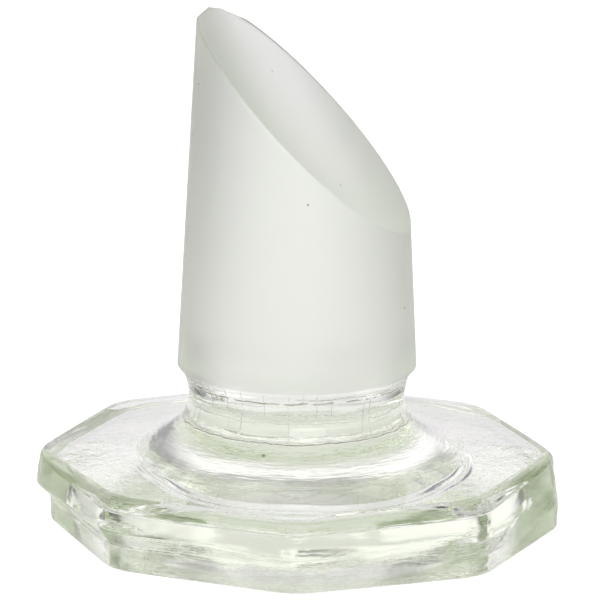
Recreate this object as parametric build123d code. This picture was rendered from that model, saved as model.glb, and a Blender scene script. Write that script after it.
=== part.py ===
from build123d import *
import os
from math import tan, radians

# A solid glass stopper standing on its head.
# Lengths are in millimetres and angles in degrees.
# The origin is the centre of the head's flat face, and +Z runs up the plug to its tip.

# Head: an eight-sided slab pressed in two mould halves, with a step between them
head_sides = 8
lower_flats = 29.1
lower_height = 1.55
lower_draft = 1.5
step_height = 0.9
upper_flats = 29.75
upper_height = 1.95
upper_draft = 7.0
corner_radius = 2.4
base_edge_radius = 0.35
rim_edge_radius = 0.45

# The two mould halves sit a little out of line
mould_shift_x = 0.5
mould_shift_y = -0.1
mould_twist = -2.0

# Shallow facets with soft ridges, rising from the rim to the foot of the neck
facet_angle = 7.6
ridge_radius = 12.0

# Clear neck: a flare up to the waist, then a shoulder under the ground cone
waist_dia = 13.06
flare_radius = 2.9
flare_sink = 0.03
waist_drop = 1.66
shoulder_drop = 0.3
shoulder_inset = 0.55

# Ground plug with the tip cut off at a slant
plug_wide_dia = 14.5
plug_taper_share = 0.1
plug_axis_length = 15.9
cut_angle = 45.4
cut_heading = -14.0
cut_edge_radius = 0.22

# Radii and heights that follow from the sizes above
facet_slope = tan(radians(facet_angle))
taper_slope = plug_taper_share / 2
plug_radius = plug_wide_dia / 2
waist_radius = waist_dia / 2
foot_radius = waist_radius + flare_radius
rim_apothem = upper_flats / 2 - upper_height * tan(radians(upper_draft))
parting_z = lower_height + step_height
rim_z = parting_z + upper_height
foot_z = rim_z + (rim_apothem - foot_radius) * facet_slope - flare_sink
waist_z = foot_z + flare_radius
wide_z = waist_z + waist_drop
cut_z = wide_z + plug_axis_length


def octagon(flats):
    """An eight-sided face with a corner on each end of the X and Y axes."""
    return RegularPolygon(flats / 2, head_sides, major_radius=False)


def rounded_octagon(flats):
    """The same face with its corners rounded."""
    face = octagon(flats)
    return fillet(face.vertices(), corner_radius)


# Lower mould half: drawn at its top, narrowing to the flat face it stands on
lower_place = Pos(mould_shift_x, mould_shift_y, lower_height) * Rot(0, 0, mould_twist)
lower_outline = lower_place * rounded_octagon(lower_flats)
lower = extrude(rounded_octagon(lower_flats), -lower_height, taper=lower_draft)
lower = lower_place * fillet(lower.edges().group_by(Axis.Z)[0], base_edge_radius)

# Step between the halves: wide on the side that the upper half leans to, and almost nothing opposite
upper_outline = Pos(0, 0, parting_z) * rounded_octagon(upper_flats)
step = loft([lower_outline, upper_outline], ruled=True)

# Upper mould half: a drafted slab kept below eight shallow facets
slab = extrude(rounded_octagon(upper_flats), upper_height + flare_radius, taper=upper_draft)
skirt_flats = 2 * (rim_apothem + upper_height / facet_slope)
roof_height = upper_height + (rim_apothem - waist_radius) * facet_slope
roof = extrude(octagon(skirt_flats), roof_height, taper=90 - facet_angle)
ridges = roof.edges().filter_by_position(Axis.Z, 0, roof_height, inclusive=(False, False))
roof = fillet(ridges, ridge_radius)
upper = slab & roof
rim = new_edges(slab, roof, combined=upper)
upper = Pos(0, 0, parting_z) * fillet(rim, rim_edge_radius)

# Neck and plug, turned about the axis
cone_end_z = cut_z + plug_wide_dia
cone_end_radius = plug_radius - (cone_end_z - wide_z) * taper_slope
shoulder = (plug_radius - shoulder_inset, wide_z - shoulder_drop)
with BuildPart() as turned:
    with BuildSketch(Plane.XZ):
        with BuildLine():
            Line((0, parting_z), (foot_radius, parting_z))
            Line((foot_radius, parting_z), (foot_radius, foot_z))
            RadiusArc((foot_radius, foot_z), (waist_radius, waist_z), flare_radius)
            TangentArc((waist_radius, waist_z), shoulder, tangent=(0, 1))
            Line(shoulder, (plug_radius, wide_z))
            Line((plug_radius, wide_z), (cone_end_radius, cone_end_z))
            Line((cone_end_radius, cone_end_z), (0, cone_end_z))
            Line((0, cone_end_z), (0, parting_z))
        make_face()
    revolve(axis=Axis.Z)

# Slanted cut across the tip, its edge dulled
cut_plane = Plane(Pos(0, 0, cut_z) * Rot(0, 0, cut_heading) * Rot(0, cut_angle, 0))
stem = split(turned.part, bisect_by=cut_plane, keep=Keep.BOTTOM)
cut_face = stem.faces().sort_by(Axis.Z)[-1]
stem = fillet(cut_face.edges(), cut_edge_radius)

stopper = lower + step + upper + stem
os.makedirs("parts", exist_ok=True)
export_step(stopper, "parts/glass_stopper.step")
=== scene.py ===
"""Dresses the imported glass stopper: one solid piece of pressed glass with a ground plug, on a white stage."""

import math

import bmesh
import bpy
from mathutils import Matrix, Vector, noise


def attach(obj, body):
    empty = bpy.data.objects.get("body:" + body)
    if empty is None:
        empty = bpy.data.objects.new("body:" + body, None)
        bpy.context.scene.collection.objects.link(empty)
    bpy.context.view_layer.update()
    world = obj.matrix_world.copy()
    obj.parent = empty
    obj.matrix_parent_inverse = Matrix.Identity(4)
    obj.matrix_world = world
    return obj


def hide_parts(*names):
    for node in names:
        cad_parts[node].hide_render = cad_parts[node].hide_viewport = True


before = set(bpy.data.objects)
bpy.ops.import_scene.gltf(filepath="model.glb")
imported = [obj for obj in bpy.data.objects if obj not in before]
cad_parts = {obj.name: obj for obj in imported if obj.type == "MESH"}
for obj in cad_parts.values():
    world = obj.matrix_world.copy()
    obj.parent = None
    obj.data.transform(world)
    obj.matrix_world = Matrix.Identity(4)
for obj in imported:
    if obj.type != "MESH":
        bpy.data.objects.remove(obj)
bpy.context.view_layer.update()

bl_info = {
    "name": "Glass Stopper",
    "version": (1, 0, 0),
    "blender": (4, 5, 0),
    "location": "View3D > Sidebar > Stopper",
    "description": "Models a pressed glass stopper with a ground plug and sets a white stage for it",
    "category": "Object",
}

MM = 0.001

# Two places nearer than this are the same one
TOUCH = 0.001 * MM

# Only the two end faces have more corners than this
MANY_CORNERS = 50

# Worn planes of the tip: the way each one faces, and how far it lies from the origin
TIP_WEAR = (
    (Vector((-0.743, 0.167, 0.648)), 24.78 * MM),
    (Vector((0.336, 0.2355, 0.912)), 27.53 * MM),
    (Vector((0.0, 0.25, 0.968)), 30.94 * MM),
)

# Kinds of node, and options of theirs, that come up again and again
MATH = "ShaderNodeMath"
VECTOR = "ShaderNodeVectorMath"
XYZ = "ShaderNodeCombineXYZ"
NOISE = "ShaderNodeTexNoise"
CELLS = "ShaderNodeTexVoronoi"
RANGE = "ShaderNodeMapRange"
ADD = {"operation": "ADD"}
SUBTRACT = {"operation": "SUBTRACT"}
MULTIPLY = {"operation": "MULTIPLY"}
LARGER = {"operation": "MAXIMUM"}
UNSIGNED = {"operation": "ABSOLUTE"}
EASED = {"interpolation_type": "SMOOTHSTEP"}


# Settings

class StopperSizes(bpy.types.PropertyGroup):
    """Sizes of the stopper: the solid's, but for a longer flare, softer corners, a worn rim and the panel."""

    lower_flats: bpy.props.FloatProperty(
        name="Lower flats", description="Width of the lower mould half across its flats",
        default=29.1 * MM, unit="LENGTH", precision=5)
    lower_foot_flats: bpy.props.FloatProperty(
        name="Foot flats",
        description="Width across flats of the face it stands on, before its edge is rounded",
        default=29.02 * MM, unit="LENGTH", precision=5)
    lower_height: bpy.props.FloatProperty(
        name="Lower height", description="Height of the lower mould half",
        default=1.55 * MM, unit="LENGTH", precision=5)
    step_height: bpy.props.FloatProperty(
        name="Step height", description="Height of the step between the mould halves",
        default=0.9 * MM, unit="LENGTH", precision=5)
    upper_flats: bpy.props.FloatProperty(
        name="Upper flats", description="Width of the upper mould half across its flats, at its widest",
        default=29.75 * MM, unit="LENGTH", precision=5)
    rim_flats: bpy.props.FloatProperty(
        name="Rim flats", description="Width across flats at the upper rim",
        default=29.27 * MM, unit="LENGTH", precision=5)
    upper_height: bpy.props.FloatProperty(
        name="Upper height", description="Height of the upper mould half at its rim",
        default=1.95 * MM, unit="LENGTH", precision=5)
    rim_wear: bpy.props.FloatProperty(
        name="Rim wear", description="Width of the worn upper rim at the front, where it is widest",
        default=1.7 * MM, unit="LENGTH", precision=5)
    facet_angle: bpy.props.FloatProperty(
        name="Facet angle", description="Slope of the facets between the rim and the neck",
        default=math.radians(7.6), subtype="ANGLE")
    corner_radius: bpy.props.FloatProperty(
        name="Corner radius", description="Rounding of the head's upright corners",
        default=2.8 * MM, unit="LENGTH", precision=5)
    mould_shift: bpy.props.FloatVectorProperty(
        name="Mould shift", description="How far the lower mould half sits out of line",
        default=(0.5 * MM, -0.1 * MM), size=2, unit="LENGTH", precision=5)
    mould_twist: bpy.props.FloatProperty(
        name="Mould twist", description="Turn of the lower mould half against the upper one",
        default=math.radians(-2.0), subtype="ANGLE")
    panel_dia: bpy.props.FloatProperty(
        name="Panel diameter",
        description="Round panel sunk into the base, in line with the lower mould half",
        default=18.6 * MM, unit="LENGTH", precision=5)
    panel_wall: bpy.props.FloatProperty(
        name="Panel wall", description="Width of the sloping wall round the panel",
        default=0.4 * MM, unit="LENGTH", precision=5)
    panel_groove: bpy.props.FloatProperty(
        name="Panel groove", description="Width of the shallow groove that runs round the panel",
        default=0.55 * MM, unit="LENGTH", precision=5)
    panel_depth: bpy.props.FloatProperty(
        name="Panel depth", description="Depth of the panel at its wall; its floor swells back to the middle",
        default=0.58 * MM, unit="LENGTH", precision=5)
    foot_height: bpy.props.FloatProperty(
        name="Neck foot height", description="Height at which the neck's flare leaves the facets",
        default=4.92 * MM, unit="LENGTH", precision=5)
    flare_radius: bpy.props.FloatProperty(
        name="Flare run-out", description="How far the neck's flare runs out over the facets",
        default=4.2 * MM, unit="LENGTH", precision=5)
    flare_height: bpy.props.FloatProperty(
        name="Flare height", description="How far the neck's flare climbs",
        default=3.04 * MM, unit="LENGTH", precision=5)
    waist_dia: bpy.props.FloatProperty(
        name="Waist diameter", description="Neck at its narrowest",
        default=13.06 * MM, unit="LENGTH", precision=5)
    shoulder_dia: bpy.props.FloatProperty(
        name="Shoulder diameter", description="Neck just under the chamfer of the plug",
        default=13.86 * MM, unit="LENGTH", precision=5)
    shoulder_height: bpy.props.FloatProperty(
        name="Shoulder height", description="Height at which the neck meets the chamfer",
        default=9.6 * MM, unit="LENGTH", precision=5)
    wide_height: bpy.props.FloatProperty(
        name="Wide end height", description="Height of the plug's wide end, above its chamfer",
        default=9.92 * MM, unit="LENGTH", precision=5)
    wide_dia: bpy.props.FloatProperty(
        name="Wide end diameter", description="Diameter of the ground plug at its wide end",
        default=14.47 * MM, unit="LENGTH", precision=5)
    taper: bpy.props.FloatProperty(
        name="Taper", description="Loss of diameter for each unit of length",
        default=0.1, subtype="FACTOR", min=0.0, max=0.5)
    cut_height: bpy.props.FloatProperty(
        name="Cut height", description="Height at which the slanted cut crosses the axis",
        default=25.525 * MM, unit="LENGTH", precision=5)
    cut_angle: bpy.props.FloatProperty(
        name="Cut angle", description="Slope of the cut against the floor",
        default=math.radians(45.4), subtype="ANGLE")
    cut_heading: bpy.props.FloatProperty(
        name="Cut heading", description="Direction in which the cut falls, from the X axis",
        default=math.radians(-14.0), subtype="ANGLE")


class StopperGlass(bpy.types.PropertyGroup):
    """Colour and surface of the glass."""

    tint: bpy.props.StringProperty(
        name="Body tint", description="Colour of light that has crossed the glass, as an sRGB hex value",
        default="#DBE7C4")
    tint_depth: bpy.props.FloatProperty(
        name="Tint depth", description="Absorption for each metre of glass",
        default=25.0, min=0.0)
    dirt: bpy.props.StringProperty(
        name="Dirt", description="Colour of the dirt in seams, cracks and pits, as an sRGB hex value",
        default="#5E5A4C")
    ground_roughness: bpy.props.FloatProperty(
        name="Ground roughness", description="Roughness of the ground plug and cut",
        default=0.45, subtype="FACTOR", min=0.0, max=1.0)
    side_streaks: bpy.props.FloatProperty(
        name="Side streaks", description="Depth of the level streaks round the head's front and back",
        default=0.035 * MM, unit="LENGTH", precision=6)
    neck_streaks: bpy.props.FloatProperty(
        name="Neck streaks", description="Depth of the level streaks on the neck and its flare",
        default=0.016 * MM, unit="LENGTH", precision=6)
    corner_wear: bpy.props.FloatProperty(
        name="Corner wear", description="Depth of the wear on the head's upright corners",
        default=0.08 * MM, unit="LENGTH", precision=6)
    swell: bpy.props.FloatProperty(
        name="Swell", description="Depth of the long waves on the facets and the base",
        default=0.006 * MM, unit="LENGTH", precision=6)
    seam_height: bpy.props.FloatProperty(
        name="Neck seam height", description="Height of the mould seam round the foot of the neck",
        default=6.7 * MM, unit="LENGTH", precision=5)


class StopperStage(bpy.types.PropertyGroup):
    """Floor and camera."""

    paper: bpy.props.StringProperty(
        name="Paper", description="Colour of the floor's paper under the lamps, as an sRGB hex value",
        default="#BCBCBC")
    distance: bpy.props.FloatProperty(
        name="Camera distance", description="From the camera to the point it looks at",
        default=400 * MM, unit="LENGTH")
    elevation: bpy.props.FloatProperty(
        name="Camera elevation", description="How far the camera looks down",
        default=math.radians(14.47), subtype="ANGLE")
    roll: bpy.props.FloatProperty(
        name="Camera roll", description="Lean of the picture",
        default=math.radians(0.48), subtype="ANGLE")
    focal_length: bpy.props.FloatProperty(
        name="Focal length", description="Lens, on a sensor 36 mm wide", default=397.4, unit="CAMERA")
    look_at: bpy.props.FloatVectorProperty(
        name="Looks at", description="Point in the middle of the picture",
        default=(0.154 * MM, 0.0, 13.85 * MM), size=3, unit="LENGTH", precision=5)


# Small helpers

def linear(hex_colour):
    """Turns an sRGB hex value into a linear colour with alpha."""
    parts = [int(hex_colour[i:i + 2], 16) / 255 for i in (1, 3, 5)]
    return tuple(c / 12.92 if c <= 0.04045 else ((c + 0.055) / 1.055) ** 2.4 for c in parts) + (1.0,)


def node(tree, kind, settings=None, *inputs, **named):
    """Adds a node with its settings, and feeds its inputs, in order or by name, with values or nodes."""
    made = tree.nodes.new(kind)
    for key, value in (settings or {}).items():
        if hasattr(made, str(key)):
            setattr(made, key, value)
        else:
            made.inputs[key].default_value = value
    for key, value in [*enumerate(inputs), *named.items()]:
        socket = made.inputs[key.replace("_", " ") if isinstance(key, str) else key]
        source = value.outputs[0] if isinstance(value, bpy.types.Node) else value
        if isinstance(source, bpy.types.NodeSocket):
            tree.links.new(source, socket)
        else:
            socket.default_value = source
    return made


def smoothstep(low, high, value):
    """Eases from 0 at low to 1 at high."""
    t = min(1.0, max(0.0, (value - low) / (high - low)))
    return t * t * (3 - 2 * t)


def select_edges(piece, test):
    """In edit mode, selects the edges whose two ends pass the test."""
    bpy.ops.mesh.select_all(action="DESELECT")
    mesh = bmesh.from_edit_mesh(piece.data)
    for edge in mesh.edges:
        edge.select = all(test(v.co) for v in edge.verts)
    mesh.select_flush(True)
    bmesh.update_edit_mesh(piece.data)


def rim_height(s):
    """Height of the head's upper rim."""
    return s.lower_height + s.step_height + s.upper_height


def lower_centre(s):
    """Middle of the lower mould half, on the floor."""
    return Vector((s.mould_shift[0], s.mould_shift[1], 0))


def cut_normal(s):
    """Direction in which the slanted cut faces."""
    lean = math.sin(s.cut_angle)
    return Vector((lean * math.cos(s.cut_heading), lean * math.sin(s.cut_heading), math.cos(s.cut_angle)))


def on_cut(s, way):
    """Point where the cut meets the ground cone, in the level direction given."""
    narrowing = s.taper / 2
    fall = math.tan(s.cut_angle) * way.dot(Vector((math.cos(s.cut_heading), math.sin(s.cut_heading), 0)))
    z = (s.cut_height - fall * (s.wide_dia / 2 + narrowing * s.wide_height)) / (1 - fall * narrowing)
    radius = s.wide_dia / 2 - narrowing * (z - s.wide_height)
    return Vector((way.x * radius, way.y * radius, z))


def rough_side(normal):
    """How sheared the head's skin is on the side that faces this way: smooth only at its two ends."""
    return smoothstep(0.1, 0.7, -normal.y) if normal.y < 0 else smoothstep(0.05, 0.3, normal.y)


# The piece

class STOPPER_OT_glass(bpy.types.Operator):
    """Models the stopper's glass from base to cut, and gives it its glass"""

    bl_idname = "stopper.glass"
    bl_label = "Glass Stopper"

    def execute(self, context):
        s = context.scene.stopper_sizes
        look = context.scene.stopper_glass
        bpy.ops.object.select_all(action="DESELECT")
        piece = self.model(s)
        self.mark_surfaces(piece, s)
        self.ripple(piece, s, look)
        self.sink_panel(piece, s)
        self.blunt_tip(piece)
        piece.data.materials.clear()
        piece.data.materials.append(soda_lime_glass(look))
        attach(piece, "root")
        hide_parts("glass_stopper")
        return {"FINISHED"}

    def model(self, s):
        """Builds the cage ring by ring from the foot to the cut, then rounds and fills it."""
        shift = lower_centre(s)
        waist = s.waist_dia / 2
        rim_z = rim_height(s)
        flats = [math.pi / 8 + side * math.pi / 4 for side in range(8)]

        # Foot: an octagon with rounded corners, set off as the lower mould half is
        corner = s.lower_foot_flats / 2 / math.cos(math.pi / 8)
        bpy.ops.mesh.primitive_circle_add(vertices=8, radius=corner, fill_type="NGON")
        piece = bpy.context.object
        piece.name = "pressed_glass"
        bpy.ops.object.mode_set(mode="EDIT")
        bpy.ops.mesh.select_all(action="SELECT")
        bpy.ops.mesh.bevel(affect="VERTICES", offset=s.corner_radius * math.tan(math.pi / 8), segments=3)
        mesh = bmesh.from_edit_mesh(piece.data)
        for edge in mesh.edges:
            edge.select = edge.calc_length() > 3 * MM
        bmesh.update_edit_mesh(piece.data)
        bpy.ops.mesh.subdivide(number_cuts=8)
        bpy.ops.mesh.select_all(action="SELECT")
        bpy.ops.transform.rotate(value=-s.mould_twist, orient_axis="Z", center_override=(0, 0, 0))
        bpy.ops.transform.translate(value=shift)

        # Lower half, step, and upper half with its draft
        self.raise_ring(piece, s.lower_height, s.lower_flats / s.lower_foot_flats, shift, cuts=2)
        self.raise_ring(piece, s.step_height, s.upper_flats / s.lower_flats, shift)
        bpy.ops.transform.rotate(value=s.mould_twist, orient_axis="Z", center_override=shift)
        bpy.ops.transform.translate(value=-shift)
        self.raise_ring(piece, s.upper_height, s.rim_flats / s.upper_flats, cuts=3)

        # Facets that run in to the round foot of the neck
        bpy.ops.mesh.extrude_region_move(TRANSFORM_OT_translate={"value": (0, 0, s.foot_height - rim_z)})
        bpy.ops.transform.tosphere(value=1.0)
        mesh = bmesh.from_edit_mesh(piece.data)
        radius = waist + s.flare_radius
        now = max(math.hypot(v.co.x, v.co.y) for v in mesh.verts if v.select)
        bpy.ops.transform.resize(value=(radius / now, radius / now, 1), center_override=(0, 0, 0))
        self.divide_strip(piece, 6)
        mesh = bmesh.from_edit_mesh(piece.data)
        for vert in mesh.verts:
            share = (vert.co.z - rim_z) / (s.foot_height - rim_z)
            if 0.01 < share < 0.99:
                out = max(vert.co.xy.dot(Vector((math.cos(a), math.sin(a)))) for a in flats)
                plane = rim_z + math.tan(s.facet_angle) * (s.rim_flats / 2 - out)
                vert.co.z += (plane - vert.co.z) * smoothstep(1.0, 0.3, share)
        bmesh.update_edit_mesh(piece.data)

        # Flare, waist and shoulder
        profile = []
        for turn in range(1, 11):
            angle = turn / 10 * math.pi / 2
            profile.append((waist + s.flare_radius * (1 - math.sin(angle)),
                            s.foot_height + s.flare_height * (1 - math.cos(angle))))
        waist_z = s.foot_height + s.flare_height
        widening = s.shoulder_dia / 2 - waist
        for up, out in ((0.4, 0.16), (0.75, 0.56), (1.0, 1.0)):
            profile.append((waist + out * widening, waist_z + up * (s.shoulder_height - waist_z)))
        profile.append((s.wide_dia / 2, s.wide_height))
        height = s.foot_height
        for new_radius, new_height in profile:
            self.raise_ring(piece, new_height - height, new_radius / radius)
            radius, height = new_radius, new_height

        # Ground cone, drawn out in one pull to the slanted cut
        pull = (0, 0, s.cut_height - s.wide_height)
        bpy.ops.mesh.extrude_region_move(TRANSFORM_OT_translate={"value": pull})
        mesh = bmesh.from_edit_mesh(piece.data)
        for vert in mesh.verts:
            if vert.select:
                vert.co = on_cut(s, Vector((vert.co.x, vert.co.y, 0)).normalized())
        bmesh.update_edit_mesh(piece.data)
        self.divide_strip(piece, 9)

        self.soften_edges(piece, s)
        self.ring_base(piece, s)
        self.fill_end(piece, Vector((0, 0, -1)))
        self.fill_end(piece, cut_normal(s))
        bpy.ops.mesh.select_all(action="SELECT")
        bpy.ops.mesh.normals_make_consistent(inside=False)
        bpy.ops.object.mode_set(mode="OBJECT")
        smooth = piece.modifiers.new("smooth", "SUBSURF")
        smooth.levels = smooth.render_levels = 2
        bpy.ops.object.modifier_apply(modifier="smooth")
        bpy.ops.object.shade_smooth()
        return piece

    def raise_ring(self, piece, height, scale, centre=(0, 0, 0), cuts=0):
        """Pulls the selected end face up into a new ring and scales it about the centre."""
        bpy.ops.mesh.extrude_region_move(TRANSFORM_OT_translate={"value": (0, 0, height)})
        bpy.ops.transform.resize(value=(scale, scale, 1), center_override=centre)
        if cuts:
            self.divide_strip(piece, cuts)

    def divide_strip(self, piece, cuts):
        """Cuts the strip under the selected end face into shorter ones, and selects that face again."""
        mesh = bmesh.from_edit_mesh(piece.data)
        ring = [v for v in mesh.verts if v.select]
        rungs = [e for v in ring for e in v.link_edges if not e.other_vert(v).select]
        bpy.ops.mesh.select_all(action="DESELECT")
        for edge in rungs:
            edge.select = True
        bmesh.update_edit_mesh(piece.data)
        bpy.ops.mesh.subdivide(number_cuts=cuts)
        bpy.ops.mesh.select_all(action="DESELECT")
        mesh = bmesh.from_edit_mesh(piece.data)
        ends = [f for f in mesh.faces if len(f.verts) > MANY_CORNERS]
        max(ends, key=lambda f: f.calc_center_median().z).select_set(True)
        bmesh.update_edit_mesh(piece.data)

    def soften_edges(self, piece, s):
        """Rounds the base edge, the step, the rim and the cut, and dulls the plug's wide edge."""
        parting = s.lower_height + s.step_height

        # Base, foot and top of the step, foot of the flare, shoulder, and wide end of the plug:
        # the height of each edge, the width of its rounding, its steps, and how hard its borders stay
        for level, width, steps, crease in (
            (0, 0.45 * MM, 3, 0.8),
            (s.lower_height, 0.45 * MM, 3, 0.4),
            (parting, 0.4 * MM, 3, 0.6),
            (s.foot_height, 0.2 * MM, 2, 0.5),
            (s.shoulder_height, 0.1 * MM, 1, 0.8),
            (s.wide_height, 0.06 * MM, 1, 1.0),
        ):
            select_edges(piece, lambda co: abs(co.z - level) < TOUCH)
            self.round_off(width, steps, crease)
        middle, normal = Vector((0, 0, s.cut_height)), cut_normal(s)
        select_edges(piece, lambda co: abs((co - middle).dot(normal)) < TOUCH)
        self.round_off(0.38 * MM, 4, 1.0)
        bpy.ops.object.mode_set(mode="OBJECT")
        self.wear_rim(piece, s)
        bpy.ops.object.mode_set(mode="EDIT")

    def round_off(self, width, steps, crease):
        """Bevels the selected edges and creases the bevel's borders, so that the faces beside stay flat."""
        bpy.ops.mesh.bevel(
            offset=width, offset_type="WIDTH", segments=steps, affect="EDGES", clamp_overlap=False)
        bpy.ops.mesh.region_to_loop()
        bpy.ops.transform.edge_crease(value=crease)

    def wear_rim(self, piece, s):
        """Rounds the upper rim, broadly at the front and narrowly at the back."""
        level = rim_height(s)
        weights = piece.data.attributes.new("bevel_weight_edge", "FLOAT", "EDGE")
        for edge in piece.data.edges:
            ends = [piece.data.vertices[i].co for i in edge.vertices]
            if all(abs(co.z - level) < TOUCH for co in ends):
                y = ends[0].y / MM
                share = 0.1 + 0.52 * smoothstep(3, -4, y) + 0.38 * smoothstep(-8, -13, y)
                weights.data[edge.index].value = share
        rim = piece.modifiers.new("rim", "BEVEL")
        rim.limit_method = "WEIGHT"
        rim.offset_type = "WIDTH"
        rim.width = s.rim_wear
        rim.segments = 4
        rim.use_clamp_overlap = False
        bpy.ops.object.modifier_apply(modifier="rim")

    def ring_base(self, piece, s):
        """Draws the base in to a circle, ring by ring, so that a round panel can be sunk into it."""
        centre = lower_centre(s)
        self.select_end(piece, Vector((0, 0, -1)))
        bpy.ops.mesh.extrude_region_move()
        bpy.ops.transform.tosphere(value=1.0)
        mesh = bmesh.from_edit_mesh(piece.data)
        radius = max((v.co - centre).length for v in mesh.verts if v.select)
        edge = s.panel_dia / 2
        groove = edge + s.panel_groove
        wall = edge - s.panel_wall
        rings = (groove + 0.1 * MM, groove, edge + s.panel_groove / 2, edge, wall, wall - 0.2 * MM)
        bpy.ops.transform.resize(value=(rings[0] / radius, rings[0] / radius, 1), center_override=centre)
        for outer, inner in zip(rings, rings[1:]):
            self.raise_ring(piece, 0, inner / outer, centre)

    def select_end(self, piece, normal):
        """In edit mode, selects the large end face that looks along the normal."""
        bpy.ops.mesh.select_all(action="DESELECT")
        mesh = bmesh.from_edit_mesh(piece.data)
        mesh.normal_update()
        ends = [f for f in mesh.faces if len(f.verts) > MANY_CORNERS]
        max(ends, key=lambda f: f.normal.dot(normal)).select_set(True)
        bmesh.update_edit_mesh(piece.data)

    def fill_end(self, piece, normal):
        """Swaps the large end face that looks along the normal for a grid of small ones."""
        self.select_end(piece, normal)
        bpy.ops.mesh.delete(type="ONLY_FACE")
        mesh = bmesh.from_edit_mesh(piece.data)
        for edge in mesh.edges:
            edge.select_set(len(edge.link_faces) == 1)
        bmesh.update_edit_mesh(piece.data)
        bpy.ops.mesh.fill_grid(span=24)

    def mark_surfaces(self, piece, s):
        """Marks where the glass is ground matt, and where the mould streaked the neck and the sides."""
        ground, neck, sides = (
            piece.data.attributes.new(zone, "FLOAT", "POINT") for zone in ("ground", "neck", "sides"))
        rim_z = rim_height(s)
        foot = s.waist_dia / 2 + s.flare_radius
        for vert in piece.data.vertices:
            co, radius = vert.co, math.hypot(vert.co.x, vert.co.y)
            ragged = 0.03 * MM * noise.noise(co / (0.35 * MM))
            front = max(0.0, -co.y / radius if radius else 0.0)
            border = s.shoulder_height - 0.06 * MM + 0.3 * MM * front + ragged
            ground.data[vert.index].value = 1.0 if co.z > border else 0.0
            inside = smoothstep(foot + 0.3 * MM, foot - 0.4 * MM, radius) if co.z > rim_z else 0.0
            neck.data[vert.index].value = inside if co.z < border else 0.0
            facing = rough_side(vert.normal) * smoothstep(0.9, 0.4, abs(vert.normal.z))
            sides.data[vert.index].value = facing if co.z < rim_z and radius > foot else 0.0

    def ripple(self, piece, s, look):
        """Moves the moulded skin in and out: level streaks on sides and neck, swells on flat faces."""
        rim_z = rim_height(s) / MM
        neck = (s.waist_dia / 2 + s.flare_radius) / MM
        top = (s.shoulder_height - 0.1 * MM) / MM
        wave = noise.noise
        moves = []
        for vert in piece.data.vertices:
            p, n = vert.co / MM, vert.normal
            radius = math.hypot(p.x, p.y)
            upright = smoothstep(0.97, 0.6, abs(n.z)) * smoothstep(rim_z + 0.4, rim_z, p.z)

            # Long swells on the flat faces
            flat = wave(p / 4.5) + 0.3 * wave(p / 1.3)
            move = flat * look.swell * (1 - upright) * (p.z < top)

            # Level streaks on the sides, least at the smooth ends
            side = wave(Vector((p.x / 5.5, p.y / 5.5, p.z / 0.5)))
            side += 0.8 * wave(Vector((p.x / 3, p.y / 3, p.z / 1.4 + 7)))
            side += noise.turbulence(Vector((p.x / 2.4, p.y / 2.4, p.z / 0.8)), 3, True) - 0.5
            move += side * look.side_streaks * upright * (0.15 + 0.85 * rough_side(n))

            # Wear on the upright corners
            off_flat = abs((math.degrees(math.atan2(n.y, n.x)) + 360) % 45 - 22.5)
            worn = noise.turbulence(p / 1.1 + Vector((3, 1, 8)), 3, True) - 0.6
            move += worn * look.corner_wear * smoothstep(3, 11, off_flat) * upright

            # Level streaks on the neck and its flare, in place of the swells
            if p.z > rim_z:
                along = p.z - radius
                way = Vector((p.x, p.y, 0)) / max(radius, 0.01)
                stroke = wave(way * 3.2 + Vector((0, 0, along / 0.42)))
                stroke += wave(way * 2.0 + Vector((5, 0, along / 1.6)))
                share = smoothstep(neck + 0.3, neck - 0.5, radius) * smoothstep(top, top - 0.3, p.z)
                move += (stroke * look.neck_streaks - move) * share
            moves.append(n * move)
        for vert, move in zip(piece.data.vertices, moves):
            vert.co += move
        piece.data.update()

    def sink_panel(self, piece, s):
        """Sinks the panel into the base: a groove, a short wall, and a floor that swells to the middle."""
        centre = lower_centre(s)
        edge = s.panel_dia / 2
        wall = edge - s.panel_wall
        middle_depth = 0.03 * MM
        for vert in piece.data.vertices:
            away = math.hypot(vert.co.x - centre.x, vert.co.y - centre.y)
            if vert.co.z < 0.05 * MM and away < edge + s.panel_groove:
                floor = middle_depth + (s.panel_depth - middle_depth) * (away / wall) ** 2
                vert.co.z += floor * smoothstep(edge, wall, away)
                across = max(0.0, (away - edge) / s.panel_groove)
                vert.co.z += 0.25 * s.panel_groove * (1 - math.cos(2 * math.pi * across))

    def blunt_tip(self, piece):
        """Presses the points of the tip that stand past its small worn planes back on to them."""
        for vert in piece.data.vertices:
            worn = 0.03 * MM * noise.noise(vert.co / (0.4 * MM))
            for facing, level in TIP_WEAR:
                past = facing.dot(vert.co) - level + worn
                if past > 0:
                    vert.co -= facing * past


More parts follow.
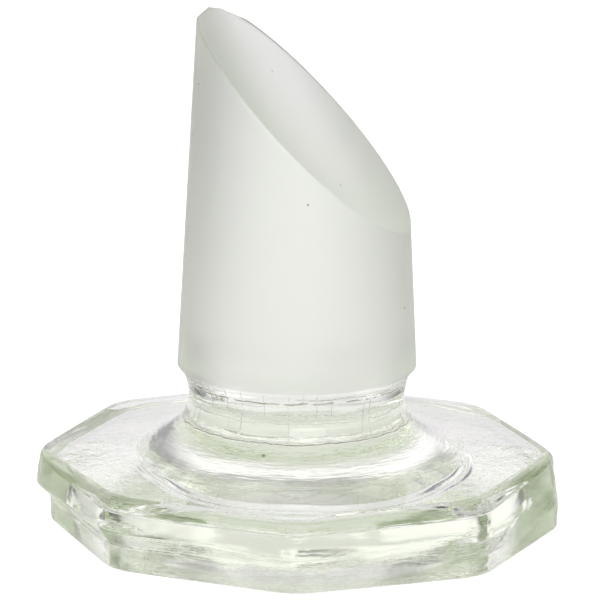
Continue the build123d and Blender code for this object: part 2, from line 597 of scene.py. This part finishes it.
def soda_lime_glass(look):
    """Soda-lime glass pressed in an iron mould, with its plug ground on a wheel."""
    # To the eye it is bright and clear, greener the longer the way through it. The mould leaves wavering
    # streaks, seams and fine cracks, and the wheel an even pale frost with a few dark pits.
    material = bpy.data.materials.new("Pressed soda-lime glass, plug ground matt")
    material.use_nodes = True
    tree = material.node_tree
    tree.nodes.clear()
    seam_level = look.seam_height / MM

    # Zones of the surface, and places on it in millimetres
    ground, neck, sides = (
        node(tree, "ShaderNodeAttribute", {"attribute_name": zone}).outputs["Fac"]
        for zone in ("ground", "neck", "sides"))
    place = node(tree, "ShaderNodeTexCoord").outputs["Object"]
    mm = node(tree, VECTOR, {"operation": "SCALE", "Scale": 1000.0}, place)
    x, y, z = node(tree, "ShaderNodeSeparateXYZ", None, mm).outputs
    turn = node(tree, MATH, {"operation": "ARCTAN2"}, y, x)
    radius = node(tree, VECTOR, {"operation": "LENGTH"}, node(tree, XYZ, None, x, y)).outputs["Value"]

    # Brushed look of the flare: strokes about 1.2 mm long and 0.2 mm wide run round it, fainter over the seam
    along = node(tree, MATH, SUBTRACT, z, radius)
    across = node(tree, MATH, {"operation": "DIVIDE"}, along, 0.26)
    stroke_place = node(tree, XYZ, None, node(tree, MATH, MULTIPLY, turn, 7.0), across)
    strokes = node(tree, NOISE, {"Scale": 1.0, "Detail": 2.0}, stroke_place)
    brushed = node(tree, RANGE, None, z, seam_level - 0.3, seam_level + 0.2, 0.035, 0.004)
    strokes = node(tree, MATH, MULTIPLY, strokes, brushed)

    # Mould seams: hairline grooves that waver round the neck and hold a little dirt, the top one broken
    waver = node(tree, NOISE, {"Scale": 0.9, "Detail": 4.0}, mm)
    waver = node(tree, MATH, MULTIPLY, node(tree, MATH, SUBTRACT, waver, 0.5), 0.35)
    wavered = node(tree, MATH, ADD, z, waver)
    seams = []
    for level, half_width, depth in ((seam_level, 0.07, 1.0), (7.85, 0.05, 0.35), (9.15, 0.09, 1.0)):
        off = node(tree, MATH, UNSIGNED, node(tree, MATH, SUBTRACT, wavered, level))
        seams.append(node(tree, RANGE, EASED, off, 0.0, half_width, depth, 0.0))
    broken = node(tree, NOISE, {"Scale": 1.6, "Detail": 2.0}, mm)
    broken = node(tree, RANGE, None, broken, 0.38, 0.46)
    top_seam = node(tree, MATH, MULTIPLY, seams[2], broken)
    seam = node(tree, MATH, ADD, node(tree, MATH, ADD, seams[0], seams[1]), top_seam)

    # Chill cracks: fine upright lines 1 to 2 mm apart, in patches on the neck over the seam
    crack_place = node(
        tree, XYZ, None, node(tree, MATH, MULTIPLY, turn, 3.6), node(tree, MATH, MULTIPLY, z, 0.03))
    crack = node(tree, CELLS, {"feature": "DISTANCE_TO_EDGE", "Scale": 1.0}, crack_place).outputs["Distance"]
    crack = node(tree, RANGE, EASED, crack, 0.0, 0.02, 1.0, 0.0)
    over_seam = node(tree, RANGE, None, z, seam_level, seam_level + 0.2)
    patches = node(tree, NOISE, {"Scale": 0.55, "Detail": 1.0}, mm)
    patches = node(tree, RANGE, None, patches, 0.45, 0.55)
    cracks = node(tree, MATH, MULTIPLY, node(tree, MATH, MULTIPLY, crack, over_seam), patches)

    # Sheared skin of the head's front and back: ragged level streaks 2 mm long and 0.25 mm high
    sheared = node(
        tree, NOISE, {"Scale": 1.0, "Detail": 3.0, "Roughness": 0.6, "Distortion": 0.6},
        node(tree, VECTOR, MULTIPLY, mm, (0.5, 0.5, 4.0)))

    # Flow lines in the same skin: hairlines 0.12 mm high that waver like the grain of wood
    flow = node(
        tree, NOISE, {"Scale": 1.0, "Detail": 2.0, "Distortion": 1.5},
        node(tree, VECTOR, MULTIPLY, mm, (0.35, 0.35, 8.0)))

    # Chilled skin of the base and facets: a fine orange peel 0.4 mm across
    peel = node(tree, NOISE, {"Scale": 2.4, "Detail": 2.0}, mm)

    # Grain of the ground glass, drawn at 0.15 mm because the real 0.05 mm grain is too fine for the picture
    grain = node(tree, NOISE, {"Scale": 6.5, "Detail": 2.0}, mm)

    # Base, wrinkled where the hot glass chilled on the mould: folds 0.8 mm across break up what it mirrors
    folds = node(tree, NOISE, {"Scale": 1.3, "Detail": 4.0, "Roughness": 0.55, "Distortion": 0.8}, mm)
    under = node(tree, RANGE, None, z, 0.3, 0.1, 0.0, 0.04)
    margin = node(tree, RANGE, None, radius, 8.9, 9.6)

    # Heights in millimetres: those of the neck, ground plug, sides, flat faces and base add up
    hollows = node(
        tree, MATH, ADD, node(tree, MATH, MULTIPLY, seam, 0.06), node(tree, MATH, MULTIPLY, cracks, 0.02))
    neck_height = node(tree, MATH, MULTIPLY, node(tree, MATH, SUBTRACT, strokes, hollows), neck)
    ground_height = node(tree, MATH, MULTIPLY, node(tree, MATH, MULTIPLY, grain, 0.006), ground)
    streaks = node(
        tree, MATH, ADD, node(tree, MATH, MULTIPLY, sheared, 0.016), node(tree, MATH, MULTIPLY, flow, 0.006))
    side_height = node(tree, MATH, MULTIPLY, streaks, sides)
    bare = node(tree, MATH, SUBTRACT, 1.0, node(tree, MATH, LARGER, ground, neck))
    flat_height = node(tree, MATH, MULTIPLY, node(tree, MATH, MULTIPLY, peel, 0.003), bare)
    base_height = node(tree, MATH, MULTIPLY, folds, node(tree, MATH, MULTIPLY, under, margin))
    height = neck_height
    for part in (ground_height, side_height, flat_height, base_height):
        height = node(tree, MATH, ADD, height, part)
    bump = node(tree, "ShaderNodeBump", {"Strength": 1.0, "Distance": MM}, Height=height)

    # Dirt: specks 0.1 mm wide in the pits of the coarse grit, a few millimetres apart, hairlines in the seams
    # and cracks, and one speck of soot 0.2 mm wide, pressed into the front of the flare
    pits = node(tree, CELLS, {"Scale": 0.45}, mm).outputs["Distance"]
    pits = node(tree, MATH, MULTIPLY, node(tree, RANGE, None, pits, 0.02, 0.035, 1.0, 0.0), ground)
    soot = node(tree, VECTOR, {"operation": "DISTANCE"}, mm, (-1.95, -7.15, 6.1)).outputs["Value"]
    soot = node(tree, RANGE, None, soot, 0.09, 0.13, 1.0, 0.0)
    lines = node(tree, MATH, LARGER, seam, node(tree, MATH, MULTIPLY, cracks, 0.45))
    lines = node(tree, MATH, MULTIPLY, node(tree, MATH, LARGER, lines, soot), neck)
    dirty = node(tree, MATH, LARGER, pits, lines)
    colour = node(
        tree, "ShaderNodeMix", {"data_type": "RGBA", 6: linear("#FFFFFF"), 7: linear(look.dirt)}, dirty)

    rough = node(tree, RANGE, None, ground, 0.0, 1.0, 0.0, look.ground_roughness)
    glass = node(
        tree, "ShaderNodeBsdfPrincipled", {"IOR": 1.52, "Transmission Weight": 1.0},
        Base_Color=colour.outputs[2], Roughness=rough, Normal=bump)
    body = node(tree, "ShaderNodeVolumeAbsorption", {"Color": linear(look.tint), "Density": look.tint_depth})
    node(tree, "ShaderNodeOutputMaterial", None, glass, body)
    return material


# The stage

class STOPPER_OT_stage(bpy.types.Operator):
    """Sets a white floor, soft light and the photograph's camera"""

    bl_idname = "stopper.stage"
    bl_label = "White Stage"

    def execute(self, context):
        scene = context.scene
        stage = scene.stopper_stage
        bpy.ops.object.select_all(action="DESELECT")
        bpy.ops.mesh.primitive_plane_add(size=4.0, location=(0, 0, -0.02 * MM))
        bpy.ops.transform.resize(value=(0.05, 1, 1))
        bpy.ops.object.transform_apply(location=False)
        floor = context.object
        floor.name = "white_floor"
        floor.data.materials.append(white_floor(stage))
        self.light(scene)
        self.camera(scene, stage)
        scene.view_settings.view_transform = "Standard"
        return {"FINISHED"}

    def light(self, scene):
        """A studio round the stage, white to the camera, and two softboxes on the camera's side."""
        world = bpy.data.worlds.new("soft_white_room")
        scene.world = world
        world.use_nodes = True
        tree = world.node_tree
        tree.nodes.clear()
        way = node(tree, "ShaderNodeTexCoord").outputs["Generated"]
        x, y, z = node(tree, "ShaderNodeSeparateXYZ", None, way).outputs
        aside = node(tree, MATH, UNSIGNED, node(tree, MATH, ADD, x, 0.06))

        # Bright sheet behind the stopper: fainter along its foot, which drops at the sides, dark at its head
        width = node(tree, RANGE, EASED, aside, 0.5, 0.85, 1.0, 0.0)
        back = node(tree, RANGE, EASED, y, 0.0, 0.3)
        drop = node(tree, RANGE, EASED, aside, 0.25, 0.45, 0.0, 0.16)
        foot = node(tree, RANGE, EASED, node(tree, MATH, ADD, drop, z), 0.25, 0.31, 0.82, 1.2)
        head = node(tree, RANGE, EASED, z, 0.54, 0.66, 0.0, -0.8)
        sheet = node(tree, MATH, MULTIPLY, width, back)
        sheet = node(tree, MATH, MULTIPLY, sheet, node(tree, MATH, ADD, foot, head))

        # Light from overhead, and from the camera's side
        overhead = node(tree, RANGE, EASED, z, 0.8, 0.9, 0.03, 0.7)
        ahead = node(tree, RANGE, EASED, y, -0.2, -0.8, 0.04, 1.2)
        tone = node(tree, MATH, ADD, node(tree, MATH, ADD, sheet, ahead), overhead)

        # The light leans a little to magenta, which takes some of the green out of the pale parts
        room = node(tree, "ShaderNodeBackground", {"Color": (1.0, 0.962, 1.022, 1.0)}, Strength=tone)
        white = node(tree, "ShaderNodeBackground", {"Color": linear("#FFFFFF")})
        seen = node(tree, "ShaderNodeLightPath").outputs["Is Camera Ray"]
        node(tree, "ShaderNodeOutputWorld", None, node(tree, "ShaderNodeMixShader", None, seen, room, white))

        for name, spot, size, watts in (
            ("softbox_right", (0.15, -0.7, 0.25), 0.5, 1.4),
            ("softbox_left", (-0.5, -0.45, 0.3), 0.4, 0.5),
        ):
            data = bpy.data.lights.new(name, "AREA")
            data.shape = "DISK"
            data.size = size
            data.energy = watts
            lamp = bpy.data.objects.new(name, data)
            lamp.location = spot
            lamp.rotation_euler = (Vector(spot) - Vector((0, 0, 0.01))).to_track_quat("Z", "Y").to_euler()
            scene.collection.objects.link(lamp)

        # Light runs a long way inside the head before it comes out
        scene.cycles.max_bounces = 32
        scene.cycles.transmission_bounces = 32
        scene.cycles.glossy_bounces = 16

    def camera(self, scene, stage):
        """Sets the camera in front, looking down on the stopper, with the photograph's lean."""
        data = bpy.data.cameras.new("camera")
        data.sensor_width = 36
        data.lens = stage.focal_length
        data.clip_start = 0.01
        camera = bpy.data.objects.new("camera", data)
        scene.collection.objects.link(camera)
        ahead = Vector((0, math.cos(stage.elevation), -math.sin(stage.elevation)))
        right = Vector((1, 0, 0))
        up = right.cross(ahead)
        level, lean = math.cos(stage.roll), math.sin(stage.roll)
        axes = Matrix((right * level + up * lean, up * level - right * lean, -ahead)).transposed()
        camera.rotation_euler = axes.to_euler()
        camera.location = Vector(stage.look_at) - ahead * stage.distance
        scene.camera = camera


def white_floor(stage):
    """White sweep paper, matt: white to the camera; to the glass it glows with a painted pool of light that
    fades sideways.
    """
    material = bpy.data.materials.new("White sweep paper")
    material.use_nodes = True
    tree = material.node_tree
    tree.nodes.clear()
    place = node(tree, "ShaderNodeTexCoord").outputs["Object"]
    aside = node(tree, MATH, UNSIGNED, node(tree, "ShaderNodeSeparateXYZ", None, place).outputs["X"])
    # Painted light: the paper's glow, as the glass sees it, is brighter near the stopper and fades sideways
    painted_pool = node(tree, RANGE, EASED, aside, 16 * MM, 40 * MM, 0.57, 0.3)
    seen = node(tree, "ShaderNodeLightPath").outputs["Is Camera Ray"]
    level = node(tree, RANGE, None, seen, 0.0, 1.0, painted_pool, 0.8)
    glow = node(tree, "ShaderNodeEmission", {"Color": linear("#FFFFFF")}, Strength=level)
    paper = node(tree, "ShaderNodeBsdfDiffuse", {"Color": linear(stage.paper)})
    node(tree, "ShaderNodeOutputMaterial", None, node(tree, "ShaderNodeAddShader", None, paper, glow))
    return material


class STOPPER_PT_panel(bpy.types.Panel):
    """Lists the stopper's settings and its operators"""

    bl_idname = "STOPPER_PT_panel"
    bl_label = "Glass Stopper"
    bl_space_type = "VIEW_3D"
    bl_region_type = "UI"
    bl_category = "Stopper"

    def draw(self, context):
        for group, operator in (
            ("stopper_sizes", None), ("stopper_glass", "stopper.glass"), ("stopper_stage", "stopper.stage"),
        ):
            box = self.layout.box()
            settings = getattr(context.scene, group)
            for key in settings.bl_rna.properties.keys():
                if key not in ("rna_type", "name"):
                    box.prop(settings, key)
            if operator:
                box.operator(operator)


CLASSES = (StopperSizes, StopperGlass, StopperStage, STOPPER_OT_glass, STOPPER_OT_stage, STOPPER_PT_panel)


def register():
    """Registers the classes, and gives each scene their settings."""
    for cls in CLASSES:
        bpy.utils.register_class(cls)
    bpy.types.Scene.stopper_sizes = bpy.props.PointerProperty(type=StopperSizes)
    bpy.types.Scene.stopper_glass = bpy.props.PointerProperty(type=StopperGlass)
    bpy.types.Scene.stopper_stage = bpy.props.PointerProperty(type=StopperStage)


def unregister():
    """Takes away the settings and the classes."""
    for key in ("stopper_sizes", "stopper_glass", "stopper_stage"):
        delattr(bpy.types.Scene, key)
    for cls in reversed(CLASSES):
        bpy.utils.unregister_class(cls)


def main():
    """Makes the stopper and its stage."""
    register()
    bpy.ops.stopper.glass()
    bpy.ops.stopper.stage()


if __name__ == "__main__":
    main()
